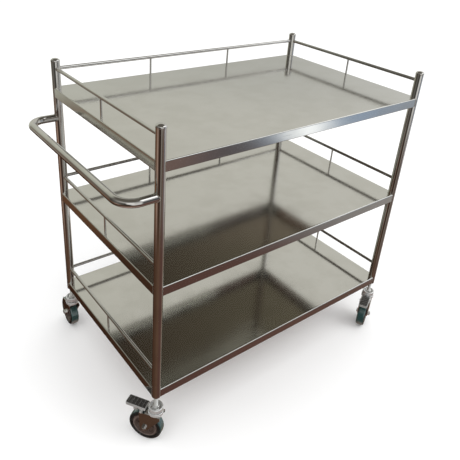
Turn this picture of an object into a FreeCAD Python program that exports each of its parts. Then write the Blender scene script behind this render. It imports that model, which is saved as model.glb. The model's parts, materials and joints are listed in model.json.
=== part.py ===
"""Three-tier stainless instrument cart on four stem casters, two of them braked.

Frame: +X along the long side, away from the handle; +Y to the back; +Z up; millimetres.
The open long side, with no guard rail, faces -Y. Z = 0 is the floor. The origin lies under the
middle of the whole outline, casters and handle included, so the frame's own centre is offset.
"""

import math
import os

import FreeCAD
import Part

V = FreeCAD.Vector
UP = V(0, 0, 1)

# Frame
FRAME_X = 38.39  # frame centre, from the origin
FRAME_Y = -13.21
POST_SPACING_X = 926.0  # between post axes
POST_SPACING_Y = 556.0
POST_D = 25.0
POST_WALL = 1.2
POST_BOTTOM = 170.0
POST_TOP = 958.0
CAP_D = 26.0
CAP_RIM = 2.5
CAP_DOME = 7.5
CAP_PLUG = 12.0

# Trays: a folded sheet with an apron on all four sides and a lip turned in below it
TRAY_TOPS = {"top": 884.0, "middle": 545.0, "bottom": 198.0}
TRAY_OVERHANG = 11.0  # from a post's axis to the apron's outer face
TRAY_SHEET = 1.2
TRAY_BEND = 3.0
APRON = 28.0
APRON_LIP = 10.0

# Guard rails on the left, back and right of each tier
RAIL_D = 10.0
RAIL_WALL = 1.0
RAIL_RISE = 55.0  # tray surface to rail axis
STAY_D = 6.0

# Push handle on the left end
HANDLE_D = 22.0
HANDLE_WALL = 1.2
HANDLE_Z = 793.0
HANDLE_REACH = 92.0  # from the posts' axes to the grip's axis
HANDLE_BEND = 45.0

# Casters, each built about its stem with +X trailing, then swivelled
CASTER_ANGLES = {"front_left": 122.0, "front_right": 207.0, "back_left": 86.0, "back_right": 155.0}
BRAKED = ("front_left", "front_right")
WHEEL_R = 50.0
WHEEL_WIDTH = 28.0
TRAIL = 28.0
TYRE_INNER_R = 38.0
TYRE_SHOULDER = 5.0
HUB_FACE = 12.0  # half width of the hub's rim
HUB_BOSS_R = 11.0
HUB_BOSS_HALF = 15.2
WEB_HALF = 7.0
AXLE_R = 4.0
AXLE_HEX = 13.0
AXLE_HEAD = 5.3
AXLE_NUT = 6.5
SLEEVE_R = 6.0
RUNNING_GAP = 0.05
FORK_INNER = 16.0  # half the gap between the legs
FORK_SHEET = 2.5
FORK_TOP = 108.0
FORK_FRONT = -20.0
FORK_REAR = 44.0
FORK_BEND = 4.5
FORK_EYE_R = 13.0
CROWN_REAR = 26.0
RACE_R = 22.0
RACE_TOP = 116.0
CUP_R = 20.5
CUP_MOUTH_R = 15.5
CUP_BOTTOM = 119.0
CUP_TOP = 132.0
BALL_R = 2.45
BALL_CIRCLE_R = 15.75
BALL_COUNT = 12
STEM_R = 6.0
STEM_TOP = 192.0
HEX_ACROSS = 19.0
HEX_HEIGHT = 10.0
PEDAL_HALF = 15.5
PEDAL_SHEET = 2.0
PEDAL_TOP = 120.5
PEDAL_START = 26.0
PEDAL_TIP = 88.0
PEDAL_FLANGE = 8.0
PEDAL_RIBS = 5
PEDAL_RIB_PITCH = 11.0
PEDAL_LUG_R = 4.8
SHOE_START = 54.0  # the block that the pedal presses on the tyre
SHOE_END = 66.0
SHOE_HALF = 9.0
SHOE_BOTTOM = 96.2
PIVOT = (38.0, 106.0)  # trailing distance and height of the pedal's pin
PIVOT_R = 2.5

LEFT = FRAME_X - POST_SPACING_X / 2
RIGHT = FRAME_X + POST_SPACING_X / 2
FRONT = FRAME_Y - POST_SPACING_Y / 2
BACK = FRAME_Y + POST_SPACING_Y / 2
CORNERS = {
    "front_left": (LEFT, FRONT),
    "front_right": (RIGHT, FRONT),
    "back_left": (LEFT, BACK),
    "back_right": (RIGHT, BACK),
}


# Shared shapes

def box(x0, x1, y0, y1, z0, z1):
    return Part.makeBox(x1 - x0, y1 - y0, z1 - z0, V(x0, y0, z0))


def rod(start, end, radius):
    along = end - start
    return Part.makeCylinder(radius, along.Length, start, along)


def tube(start, end, diameter, wall):
    outer = rod(start, end, diameter / 2)
    return outer.cut(rod(start, end, diameter / 2 - wall))


def turned(profile):
    """Revolve (radius, height) points about Z."""
    wire = Part.makePolygon([V(r, 0, z) for r, z in profile + profile[:1]])
    return Part.Face(wire).revolve(V(0, 0, 0), UP, 360)


def hexagon(across, height, z):
    corner = across / math.sqrt(3)
    points = [V(corner * math.cos(a), corner * math.sin(a), z)
              for a in (math.radians(60 * i) for i in range(7))]
    return Part.Face(Part.makePolygon(points)).extrude(V(0, 0, height))


def hex_nut(across, height, bore_r, z):
    """A nut on the Z axis whose corners are chamfered on top."""
    corner = across / math.sqrt(3)
    bevel = 1.2
    cone = turned([(0, z), (corner, z), (corner, z + height - bevel / 2),
                   (across / 2 - 0.3, z + height), (0, z + height)])
    bore = rod(V(0, 0, z - 1), V(0, 0, z + height + 1), bore_r)
    return hexagon(across, height, z).common(cone).cut(bore)


def lay_on_axle(shape):
    """Turn a shape built about +Z so that its axis runs along +Y."""
    return shape.rotated(V(0, 0, 0), V(1, 0, 0), -90)


def circular_edges(shape, radius, z):
    return [e for e in shape.Edges
            if isinstance(e.Curve, Part.Circle) and abs(e.Curve.Radius - radius) < 0.01
            and abs(e.BoundBox.ZMin - z) < 0.01 and abs(e.BoundBox.ZMax - z) < 0.01]


# Frame pieces

def post_space(x, y):
    return rod(V(x, y, POST_BOTTOM - 5), V(x, y, POST_TOP + 5), POST_D / 2)


POST_SPACES = Part.makeCompound([post_space(x, y) for x, y in CORNERS.values()])


def post(x, y):
    return tube(V(x, y, POST_BOTTOM), V(x, y, POST_TOP), POST_D, POST_WALL)


def post_cap(x, y):
    """Domed cap whose plug fits the post's bore."""
    plug_r = POST_D / 2 - POST_WALL
    cap_r = CAP_D / 2
    rim_top = POST_TOP + CAP_RIM
    chord = math.hypot(cap_r, CAP_DOME)
    dome_r = chord * chord / (2 * CAP_DOME)
    half_turn = math.asin(cap_r / dome_r) / 2
    middle = V(dome_r * math.sin(half_turn), 0,
               rim_top + CAP_DOME - dome_r * (1 - math.cos(half_turn)))
    corners = [V(0, 0, POST_TOP - CAP_PLUG), V(plug_r, 0, POST_TOP - CAP_PLUG),
               V(plug_r, 0, POST_TOP), V(cap_r, 0, POST_TOP), V(cap_r, 0, rim_top)]
    tip = V(0, 0, rim_top + CAP_DOME)
    edges = [Part.makeLine(a, b) for a, b in zip(corners, corners[1:])]
    edges.append(Part.Arc(corners[-1], middle, tip).toShape())
    edges.append(Part.makeLine(tip, corners[0]))
    cap = Part.Face(Part.Wire(edges)).revolve(V(0, 0, 0), UP, 360)
    return cap.translated(V(x, y, 0))


def stay_points():
    """Where stays stand: half way along each end rail and at thirds of the back rail."""
    third = POST_SPACING_X / 3
    return [(LEFT, FRAME_Y), (RIGHT, FRAME_Y), (LEFT + third, BACK), (RIGHT - third, BACK)]


def rounded_top(shape, top, radius):
    edges = [e for e in shape.Edges
             if abs(e.BoundBox.ZMin - top) < 0.01 and abs(e.BoundBox.ZMax - top) < 0.01]
    return shape.makeFillet(radius, edges)


def tray(top):
    """Folded pan, notched at its corners for the posts and drilled for the stays."""
    x0, x1 = LEFT - TRAY_OVERHANG, RIGHT + TRAY_OVERHANG
    y0, y1 = FRONT - TRAY_OVERHANG, BACK + TRAY_OVERHANG
    t = TRAY_SHEET
    pan = rounded_top(box(x0, x1, y0, y1, top - APRON, top), top, TRAY_BEND)
    hollow = box(x0 + t, x1 - t, y0 + t, y1 - t, top - APRON + t, top - t)
    hollow = rounded_top(hollow, top - t, TRAY_BEND - t)
    lip = t + APRON_LIP
    mouth = box(x0 + lip, x1 - lip, y0 + lip, y1 - lip, top - APRON - 1, top - APRON + 2 * t)
    pan = pan.cut(hollow).cut(mouth)
    reach = TRAY_OVERHANG + 1
    for x, y in CORNERS.values():
        out_x = x + math.copysign(reach, x - FRAME_X)
        out_y = y + math.copysign(reach, y - FRAME_Y)
        corner = box(min(x, out_x), max(x, out_x), min(y, out_y), max(y, out_y),
                     top - APRON - 1, top + 1)
        pan = pan.cut(corner)
    holes = [rod(V(x, y, top - 2 * t), V(x, y, top + 1), STAY_D / 2) for x, y in stay_points()]
    return pan.cut(POST_SPACES).cut(Part.makeCompound(holes))


def rail_axis(side, top):
    z = top + RAIL_RISE
    ends = {"left": ((LEFT, FRONT), (LEFT, BACK)), "right": ((RIGHT, FRONT), (RIGHT, BACK)),
            "back": ((LEFT, BACK), (RIGHT, BACK))}
    (xa, ya), (xb, yb) = ends[side]
    return V(xa, ya, z), V(xb, yb, z)


def rail(side, top):
    """Guard rail whose ends are coped to the posts."""
    start, end = rail_axis(side, top)
    return tube(start, end, RAIL_D, RAIL_WALL).cut(POST_SPACES)


def stays(top):
    """Rods through the tray's sheet, coped to the rails above."""
    rails = Part.makeCompound([rod(*rail_axis(s, top), RAIL_D / 2) for s in ("left", "right", "back")])
    rods = [rod(V(x, y, top - TRAY_SHEET), V(x, y, top + RAIL_RISE), STAY_D / 2)
            for x, y in stay_points()]
    return Part.makeCompound([r.cut(rails) for r in rods])


def handle_wire():
    """Centre line of the handle: out from the front post, round, along and back."""
    grip_x = LEFT - HANDLE_REACH
    bend = HANDLE_BEND
    corner = bend * (1 - math.sqrt(0.5))

    def at(x, y):
        return V(x, y, HANDLE_Z)

    front_arc = Part.Arc(at(grip_x + bend, FRONT), at(grip_x + corner, FRONT + corner),
                         at(grip_x, FRONT + bend))
    back_arc = Part.Arc(at(grip_x, BACK - bend), at(grip_x + corner, BACK - corner),
                        at(grip_x + bend, BACK))
    return Part.Wire([
        Part.makeLine(at(LEFT, FRONT), at(grip_x + bend, FRONT)),
        front_arc.toShape(),
        Part.makeLine(at(grip_x, FRONT + bend), at(grip_x, BACK - bend)),
        back_arc.toShape(),
        Part.makeLine(at(grip_x + bend, BACK), at(LEFT, BACK)),
    ])


def handle():
    path = handle_wire()

    def swept(radius):
        ring = Part.Wire(Part.makeCircle(radius, V(LEFT, FRONT, HANDLE_Z), V(-1, 0, 0)))
        return path.makePipeShell([ring], True, False)

    bar = swept(HANDLE_D / 2).cut(swept(HANDLE_D / 2 - HANDLE_WALL))
    return bar.cut(POST_SPACES)


def stem_insert():
    """Steel plug in a post's foot that takes the caster's stem."""
    outer = POST_D / 2 - POST_WALL
    z0, z1 = POST_BOTTOM, POST_BOTTOM + 20
    return turned([(STEM_R, z0), (outer, z0), (outer, z1), (STEM_R, z1)])


# Caster pieces, about a stem on the Z axis with the wheel trailing towards +X

def stem():
    """Stem with a hexagon in the cup and a riveted head under the fork's crown."""
    shank = rod(V(0, 0, FORK_TOP - 4), V(0, 0, STEM_TOP), STEM_R)
    base = CUP_BOTTOM + 5
    hexed = hexagon(HEX_ACROSS, HEX_HEIGHT, base)
    head = turned([(0, FORK_TOP - 6.5), (8, FORK_TOP - 6.5), (9.5, FORK_TOP - 5),
                   (9.5, FORK_TOP - 2.8), (0, FORK_TOP - 2.8)])
    return shank.fuse([hexed, head]).removeSplitter()


def swivel_cup():
    """Upper race: an open dish that the stem clamps and the balls run under."""
    floor = CUP_BOTTOM + 5
    dish = turned([
        (STEM_R, CUP_BOTTOM + 2), (STEM_R, floor), (CUP_MOUTH_R - 2, floor),
        (CUP_MOUTH_R, floor + 3), (CUP_MOUTH_R, CUP_TOP), (CUP_R, CUP_TOP), (CUP_R, CUP_BOTTOM),
        (CUP_R - 1.5, CUP_BOTTOM), (CUP_R - 1.5, CUP_BOTTOM + 2),
    ])
    rim = circular_edges(dish, CUP_R, CUP_TOP) + circular_edges(dish, CUP_MOUTH_R, CUP_TOP)
    foot = circular_edges(dish, CUP_R, CUP_BOTTOM)
    return dish.makeFillet(2.0, rim).makeFillet(0.6, foot)


def swivel_balls():
    height = (RACE_TOP + CUP_BOTTOM + 2) / 2
    step = 2 * math.pi / BALL_COUNT
    return [Part.makeSphere(BALL_R, V(BALL_CIRCLE_R * math.cos(i * step),
                                      BALL_CIRCLE_R * math.sin(i * step), height))
            for i in range(BALL_COUNT)]


def fork_race():
    """Lower race pressed into the crown, with a bore that turns on the stem."""
    bore = STEM_R + RUNNING_GAP
    ring = turned([(bore, FORK_TOP - FORK_SHEET), (bore, FORK_TOP + 5), (11, FORK_TOP + 5),
                   (11, RACE_TOP), (RACE_R, RACE_TOP), (RACE_R, FORK_TOP - 0.5),
                   (12, FORK_TOP - FORK_SHEET)])
    return ring.makeFillet(1.5, circular_edges(ring, RACE_R, RACE_TOP))


def fork_side_outline():
    """Side view of a leg: wide at the crown, tapering to a round eye at the axle."""
    eye = V(TRAIL, 0, WHEEL_R)
    shoulder_front = V(FORK_FRONT, 0, FORK_TOP - 12)
    shoulder_rear = V(FORK_REAR, 0, FORK_TOP - 12)

    def tangent_point(corner, side):
        out = corner - eye
        turn = math.acos(FORK_EYE_R / out.Length)
        heading = math.atan2(out.z, out.x) + side * turn
        return eye + V(FORK_EYE_R * math.cos(heading), 0, FORK_EYE_R * math.sin(heading))

    low_front = tangent_point(shoulder_front, 1)
    low_rear = tangent_point(shoulder_rear, -1)
    top = FORK_TOP + 2
    edges = [
        Part.makeLine(low_rear, shoulder_rear),
        Part.makeLine(shoulder_rear, V(FORK_REAR, 0, top)),
        Part.makeLine(V(FORK_REAR, 0, top), V(FORK_FRONT, 0, top)),
        Part.makeLine(V(FORK_FRONT, 0, top), shoulder_front),
        Part.makeLine(shoulder_front, low_front),
        Part.Arc(low_front, eye - V(0, 0, FORK_EYE_R), low_rear).toShape(),
    ]
    return Part.Face(Part.Wire(edges))


def fork(braked):
    """Pressed fork: a crown with bent shoulders, two tapering legs and the lower race."""
    half = FORK_INNER + FORK_SHEET
    outer = box(FORK_FRONT, FORK_REAR, -half, half, 0, FORK_TOP)
    shoulders = [e for e in outer.Edges
                 if abs(e.BoundBox.ZMin - FORK_TOP) < 0.01 and e.BoundBox.XLength > 10]
    outer = outer.makeFillet(FORK_BEND, shoulders)
    inner = box(FORK_FRONT - 1, FORK_REAR + 1, -FORK_INNER, FORK_INNER, -1, FORK_TOP - FORK_SHEET)
    slot = box(CROWN_REAR, FORK_REAR + 1, -FORK_INNER, FORK_INNER, -1, FORK_TOP + 1)
    body = outer.cut(inner).cut(slot)
    side = fork_side_outline().extrude(V(0, 2 * half + 2, 0)).translated(V(0, -half - 1, 0))
    body = body.common(side)
    body = body.cut(rod(V(0, 0, 0), V(0, 0, FORK_TOP + 1), RACE_R - 4)).fuse(fork_race())
    axle_hole = rod(V(TRAIL, -half - 1, WHEEL_R), V(TRAIL, half + 1, WHEEL_R), AXLE_R)
    body = body.cut(axle_hole)
    if braked:
        x, z = PIVOT
        body = body.cut(rod(V(x, -half - 1, z), V(x, half + 1, z), PIVOT_R))
    return body.removeSplitter()


def axle():
    """Bolt across the fork with a hexagon head, and its nut as a second solid."""
    half = FORK_INNER + FORK_SHEET
    bolt = rod(V(0, 0, -half), V(0, 0, half + AXLE_NUT + 1.5), AXLE_R)
    bolt = bolt.fuse(hexagon(AXLE_HEX, AXLE_HEAD, -half - AXLE_HEAD)).removeSplitter()
    nut = hex_nut(AXLE_HEX, AXLE_NUT, AXLE_R, half)
    return [lay_on_axle(s).translated(V(TRAIL, 0, WHEEL_R)) for s in (bolt, nut)]


def axle_sleeve():
    sleeve = turned([(AXLE_R, -FORK_INNER), (SLEEVE_R, -FORK_INNER),
                     (SLEEVE_R, FORK_INNER), (AXLE_R, FORK_INNER)])
    return lay_on_axle(sleeve).translated(V(TRAIL, 0, WHEEL_R))


def hub():
    """Moulded centre: a boss that turns on the sleeve, a dished web and a rim with a raised bead."""
    bore = SLEEVE_R + RUNNING_GAP
    half_profile = [(bore, HUB_BOSS_HALF), (HUB_BOSS_R, HUB_BOSS_HALF), (HUB_BOSS_R + 2, WEB_HALF),
                    (27, WEB_HALF), (29, HUB_FACE - 1), (32, HUB_FACE - 1), (32.5, HUB_FACE + 0.8),
                    (35, HUB_FACE + 0.8), (35.5, HUB_FACE), (TYRE_INNER_R, HUB_FACE)]
    mirrored = [(r, -z) for r, z in reversed(half_profile)]
    return lay_on_axle(turned(half_profile + mirrored)).translated(V(TRAIL, 0, WHEEL_R))


def tyre():
    """Tread with rounded shoulders, bonded on the hub's rim."""
    half = WHEEL_WIDTH / 2
    band = turned([(TYRE_INNER_R, -HUB_FACE), (TYRE_INNER_R + 2, -half), (WHEEL_R, -half),
                   (WHEEL_R, half), (TYRE_INNER_R + 2, half), (TYRE_INNER_R, HUB_FACE)])
    shoulders = circular_edges(band, WHEEL_R, half) + circular_edges(band, WHEEL_R, -half)
    band = band.makeFillet(TYRE_SHOULDER, shoulders)
    return lay_on_axle(band).translated(V(TRAIL, 0, WHEEL_R))


def pedal():
    """Ribbed foot plate with turned-down sides, lugs on the pin and a shoe over the tyre."""
    under = PEDAL_TOP - PEDAL_SHEET
    low = PEDAL_TOP - PEDAL_FLANGE
    half = PEDAL_HALF
    plate = box(PEDAL_START, PEDAL_TIP, -half, half, low, PEDAL_TOP)
    tips = [e for e in plate.Edges
            if e.BoundBox.ZLength > 1 and abs(e.BoundBox.XMin - PEDAL_TIP) < 0.01]
    plate = plate.makeFillet(5, tips)
    hollow = box(PEDAL_START - 1, PEDAL_TIP - PEDAL_SHEET, -half + PEDAL_SHEET, half - PEDAL_SHEET,
                 low - 1, under)
    body = plate.cut(hollow)
    for i in range(PEDAL_RIBS):
        x = PEDAL_TIP - 7 - PEDAL_RIB_PITCH * i
        body = body.fuse(box(x - 1.2, x + 1.2, -half + 4, half - 4, under, PEDAL_TOP + 1.2))
    x, z = PIVOT
    for side in (-1, 1):
        y0, y1 = sorted((side * (half - PEDAL_SHEET), side * half))
        eye = rod(V(x, y0, z), V(x, y1, z), PEDAL_LUG_R)
        lug = box(x - PEDAL_LUG_R, x + PEDAL_LUG_R, y0, y1, z, low + 1)
        body = body.fuse([eye, lug])
    shoe = box(SHOE_START, SHOE_END, -SHOE_HALF, SHOE_HALF, SHOE_BOTTOM, under)
    body = body.fuse(shoe)
    bore = rod(V(x, -half - 1, z), V(x, half + 1, z), PIVOT_R + RUNNING_GAP)
    return body.cut(bore).removeSplitter()


def pedal_pin():
    half = FORK_INNER + FORK_SHEET
    shank = rod(V(0, 0, -half), V(0, 0, half), PIVOT_R)
    heads = [rod(V(0, 0, half), V(0, 0, half + 1.6), 4),
             rod(V(0, 0, -half - 1.6), V(0, 0, -half), 4)]
    x, z = PIVOT
    return lay_on_axle(shank.fuse(heads).removeSplitter()).translated(V(x, 0, z))


def at_corner(shape, corner, swivelled=True):
    """Swivel a caster piece and set it under its post."""
    x, y = CORNERS[corner]
    angle = CASTER_ANGLES[corner] if swivelled else 0
    return shape.rotated(V(0, 0, 0), UP, angle).translated(V(x, y, 0))


def build():
    nodes = {}
    for corner, (x, y) in CORNERS.items():
        nodes[f"post_{corner}"] = post(x, y)
    nodes["post_caps"] = Part.makeCompound([post_cap(x, y) for x, y in CORNERS.values()])
    for tier, top in TRAY_TOPS.items():
        nodes[f"tray_{tier}"] = tray(top)
        nodes[f"stays_{tier}"] = stays(top)
        for side in ("left", "back", "right"):
            nodes[f"rail_{tier}_{side}"] = rail(side, top)
    nodes["handle"] = handle()
    nodes["stem_inserts"] = Part.makeCompound([at_corner(stem_insert(), c, False) for c in CORNERS])
    nodes["swivel_balls"] = Part.makeCompound([at_corner(b, c) for c in CORNERS for b in swivel_balls()])
    for corner in CORNERS:
        braked = corner in BRAKED
        nodes[f"stem_{corner}"] = at_corner(stem(), corner, False)
        nodes[f"cup_{corner}"] = at_corner(swivel_cup(), corner, False)
        nodes[f"fork_{corner}"] = at_corner(fork(braked), corner)
        nodes[f"axle_{corner}"] = Part.makeCompound([at_corner(s, corner) for s in axle()])
        nodes[f"sleeve_{corner}"] = at_corner(axle_sleeve(), corner)
        nodes[f"hub_{corner}"] = at_corner(hub(), corner)
        nodes[f"tyre_{corner}"] = at_corner(tyre(), corner)
        if braked:
            nodes[f"pedal_{corner}"] = at_corner(pedal(), corner)
            nodes[f"pedal_pin_{corner}"] = at_corner(pedal_pin(), corner)
    return nodes


def main():
    os.makedirs("parts", exist_ok=True)
    total = FreeCAD.BoundBox()
    for name, shape in build().items():
        volume = sum(s.Volume for s in shape.Solids)
        print(f"{name}: {len(shape.Solids)} solids, {volume:.0f} mm3, valid {shape.isValid()}")
        shape.exportStep(f"parts/{name}.step")
        total.add(shape.BoundBox)
    print(f"outline X {total.XMin:.2f} {total.XMax:.2f} Y {total.YMin:.2f} {total.YMax:.2f} "
          f"Z {total.ZMin:.2f} {total.ZMax:.2f}")


main()
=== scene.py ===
"""Looks of the three-tier stainless instrument cart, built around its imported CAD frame.

Metres, in the frame's own axes: +X away from the handle, +Y to the back, +Z up. Every piece is
built where the CAD says, so its object sits at the origin. Each mesh carries a map named "grain",
in metres, whose V runs along the piece, so that a finish follows its tube, sheet or turned part.
"""

import json
import math

import bmesh
import bpy
from mathutils import Euler, Matrix, Vector


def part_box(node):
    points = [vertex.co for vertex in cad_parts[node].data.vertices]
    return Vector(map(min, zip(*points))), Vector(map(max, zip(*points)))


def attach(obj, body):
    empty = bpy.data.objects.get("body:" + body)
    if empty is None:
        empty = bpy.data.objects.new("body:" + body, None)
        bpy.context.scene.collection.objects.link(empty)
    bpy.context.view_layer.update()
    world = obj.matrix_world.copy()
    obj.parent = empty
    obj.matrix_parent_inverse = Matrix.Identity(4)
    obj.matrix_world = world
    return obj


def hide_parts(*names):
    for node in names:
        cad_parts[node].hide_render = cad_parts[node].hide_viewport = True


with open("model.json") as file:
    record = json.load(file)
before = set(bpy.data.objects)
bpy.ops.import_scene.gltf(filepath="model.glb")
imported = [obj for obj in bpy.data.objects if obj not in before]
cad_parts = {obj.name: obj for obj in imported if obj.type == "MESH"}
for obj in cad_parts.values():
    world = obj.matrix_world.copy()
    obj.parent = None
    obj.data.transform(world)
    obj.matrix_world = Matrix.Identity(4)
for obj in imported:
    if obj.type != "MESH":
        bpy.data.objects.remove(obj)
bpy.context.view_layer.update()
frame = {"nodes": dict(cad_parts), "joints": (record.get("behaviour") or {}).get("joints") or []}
scene = bpy.context.scene

MM = 0.001
UP = Vector((0, 0, 1))
HANDLE_WAY = Vector((-1, 0, 0))  # from the posts out to the handle
MERGE = 0.01 * MM
ROUND = 72  # segments round a large turned part


def span(node):
    low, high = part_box(node)
    return high - low


def centre(node):
    low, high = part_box(node)
    return (low + high) / 2


# Sizes and places read from the frame
CORNERS = ("front_left", "front_right", "back_right", "back_left")  # anticlockwise
TIERS = ("top", "middle", "bottom")
RAIL_ENDS = {"left": ("front_left", "back_left"), "right": ("front_right", "back_right"),
             "back": ("back_left", "back_right")}
JOINTS = {joint["name"]: joint for joint in frame["joints"]}
POST_AT = {corner: centre(f"post_{corner}").xy.to_3d() for corner in CORNERS}
POST_PLACE = {corner: Matrix.Translation(POST_AT[corner]) for corner in CORNERS}
POST_R = span("post_front_left").x / 2
POST_LOW, POST_HIGH = (point.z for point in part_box("post_front_left"))
CAP_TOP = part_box("post_caps")[1].z
CAP_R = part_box("post_caps")[1].x - POST_AT["front_right"].x
TRAY_TOP = {tier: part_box(f"tray_{tier}")[1].z for tier in TIERS}
APRON = span("tray_top").z
OVERHANG = POST_AT["front_left"].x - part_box("tray_top")[0].x
RAIL_R = span("rail_top_left").z / 2
RAIL_RISE = centre("rail_top_left").z - TRAY_TOP["top"]
HANDLE_R = span("handle").z / 2
HANDLE_Z = centre("handle").z
GRIP_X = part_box("handle")[0].x + HANDLE_R
WHEEL_R = JOINTS["roll_front_left"]["pos_m"][2]  # the axle's height
BRAKED = [corner for corner in CORNERS if f"pedal_{corner}" in frame["nodes"]]

# Frame details
POST_WALL = 1.2 * MM
RAIL_WALL = 1.0 * MM
STAY_R = 3.0 * MM
HANDLE_WALL = 1.2 * MM
HANDLE_BEND = 45.0 * MM
SHEET = 1.2 * MM
TRAY_BEND = 3.0 * MM
APRON_LIP = 10.0 * MM
POST_EASE = 0.35 * MM
CAP_RIM = 2.5 * MM
CAP_PLUG = 12.0 * MM
INSERT_DEPTH = 20.0 * MM

# Weld beads
WELD_RIPPLE = 1.7 * MM
WELD_SWELL = 0.14  # of the radius, at a ripple's top
WELD_STEP = 0.35 * MM
WELD_SIDES = 10
RAIL_WELD = 0.9 * MM
STAY_WELD = 0.6 * MM
APRON_WELD = 0.8 * MM
TRAY_WELD = 0.9 * MM
HANDLE_WELD = 1.2 * MM
APRON_WELD_END = 2.0 * MM  # above the apron's lower edge

# Caster details, about the stem with the wheel trailing along +X
STEM_R = 6.0 * MM
STEM_TOP = 192.0 * MM
STEM_CHAMFER = 1.0 * MM
THREAD_PITCH = 1.75 * MM
THREAD_DEPTH = 0.95 * MM
THREAD_STEPS = 8  # rings to a turn
RIVET_R = 9.5 * MM
RIVET_LOW = 101.5 * MM
RIVET_TOP = 105.2 * MM
HEX_ACROSS = 19.0 * MM
HEX_LOW = 124.0 * MM
HEX_TOP = 134.0 * MM
HEX_CHAMFER = 0.2 * MM
AXLE_R = 4.0 * MM
AXLE_HEX = 13.0 * MM
AXLE_HEAD = 5.3 * MM
AXLE_NUT = 6.5 * MM
AXLE_END = 1.5 * MM
FORK_SHEET = 2.5 * MM
FORK_INNER = 16.0 * MM
FORK_HALF = FORK_INNER + FORK_SHEET
FORK_TOP = 108.0 * MM
FORK_SHOULDER = 96.0 * MM
FORK_FRONT = -20.0 * MM
FORK_REAR = 44.0 * MM
FORK_BEND = 4.5 * MM
FORK_EYE_R = 13.0 * MM
CROWN_REAR = 26.0 * MM
PEDAL_START = 26.0 * MM
PEDAL_TIP = 88.0 * MM
PEDAL_HALF = 15.5 * MM
PEDAL_TOP = 120.5 * MM
PEDAL_SHEET = 2.0 * MM
PEDAL_FLANGE = 8.0 * MM
PEDAL_CORNER = 5.0 * MM
PEDAL_EDGE = 1.5 * MM
PEDAL_RIM = 1.9 * MM
PEDAL_RIBS = 5
PEDAL_RIB_FIRST = 7.0 * MM  # from the tip
PEDAL_RIB_PITCH = 11.0 * MM
PEDAL_RIB_HALF = 1.2 * MM
PEDAL_RIB_RISE = 1.2 * MM
PEDAL_RIB_INSET = 3.0 * MM
PEDAL_SEAT = 0.5 * MM  # how far up in the plate its ribs begin and its shoe ends
SHOE_START = 54.0 * MM
SHOE_END = 66.0 * MM
SHOE_HALF = 9.0 * MM
SHOE_BOTTOM = 96.2 * MM
PIVOT_X = 38.0 * MM
PIVOT_Z = 106.0 * MM
PIVOT_R = 2.5 * MM
PIVOT_HEAD_R = 4.0 * MM
PIVOT_HEAD = 1.6 * MM
LUG_R = 4.8 * MM
LUG_OVERLAP = 1.0 * MM  # how far a lug reaches up into its flange
LUG_HALF = 0.98 * MM
HUB_RIBS = 6
HUB_RIB_START = 12.0 * MM
HUB_RIB_END = 28.2 * MM
HUB_RIB_HALF = 1.3 * MM
HUB_RIB_LOW = 6.5 * MM
HUB_RIB_TOP = 9.6 * MM

# (radius, height) sections of turned parts, in millimetres
CUP_SECTION = ((6, 121), (6, 124), (13.5, 124), (15.5, 127), (15.5, 132), (20.5, 132), (20.5, 119),
               (19, 119), (19, 121))
CUP_EASE = (0.4, 0.4, 1.5, 2.0, 2.2, 2.2, 0.6, 0.5, 0.5)
RACE_SECTION = ((6.05, 105.5), (6.05, 113), (11, 113), (11, 116), (22, 116), (22, 107.5),
                (12, 105.5))
RACE_EASE = (0.3, 0.4, 0.8, 0.8, 1.8, 0.8, 0.8)
HUB_HALF_SECTION = ((6.05, 15.2), (11, 15.2), (13, 7), (27, 7), (29, 11), (32, 11), (32.5, 12.8),
                    (35, 12.8), (35.5, 12), (38, 12))
HUB_EASE = (0.5, 0.9, 1.5, 1.2, 0.8, 0.4, 0.5, 0.5, 0.3, 0.2)
BEAD_SECTION = ((32.3, 12.2), (32.3, 13.6), (35.3, 13.6), (35.3, 12.2))
BEAD_EASE = (0.2, 1.0, 1.0, 0.2)
TYRE_HALF_SECTION = ((38, 12), (40, 14), (45.2, 14), (48.6, 12.2), (49.8, 8.8), (49.93, 1.2),
                     (50, 0.5))
TYRE_EASE = (0.2, 1.2, 3.0, 2.4, 2.0, 0.1, 0.1)
TREAD_R = 48.2 * MM


def sine(degrees):
    return math.sin(math.radians(degrees))


def cosine(degrees):
    return math.cos(math.radians(degrees))


def between(start, end, steps):
    """Evenly spaced numbers or points from start to end, with both."""
    return [start + (end - start) * step / steps for step in range(steps + 1)]


# Mesh building

def rounded(points, radii, steps=5):
    """The polyline with each inner corner replaced by an arc; a radius of 0 keeps the corner."""
    points = [Vector(point) for point in points]
    line = [points[0]]
    for before, corner, after, radius in zip(points, points[1:], points[2:], radii):
        back = (before - corner).normalized()
        ahead = (after - corner).normalized()
        half = back.angle(ahead) / 2
        if radius == 0 or half > math.radians(89.9):
            line.append(corner)
            continue
        middle = corner + (back + ahead).normalized() * radius / math.sin(half)
        reach = radius / math.tan(half)
        start = corner + back * reach - middle
        end = corner + ahead * reach - middle
        line += [middle + start.slerp(end, step / steps) * start.length
                 for step in range(steps + 1)]
    line.append(points[-1])
    return line


def rounded_loop(points, radii, steps=4):
    """A closed polygon with every corner rounded, as a list that doesn't repeat its start."""
    points = [Vector(point) for point in points]
    seam = (points[-1] + points[0]) / 2
    return rounded([seam] + points + [seam], radii, steps)[:-1]


def section_in_mm(points, radii):
    """A rounded closed section from millimetre values."""
    points = [Vector(point) * MM for point in points]
    return rounded_loop(points, [radius * MM for radius in radii])


def mirrored_section(half, radii):
    """A rounded closed section from its upper half, mirrored about height 0."""
    lower = tuple((radius, -height) for radius, height in reversed(half))
    return section_in_mm(half + lower, radii + radii[::-1])


def circle(radius, height, count=ROUND):
    turns = (math.tau * step / count for step in range(count))
    return [Vector((radius * math.cos(turn), radius * math.sin(turn), height)) for turn in turns]


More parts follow.
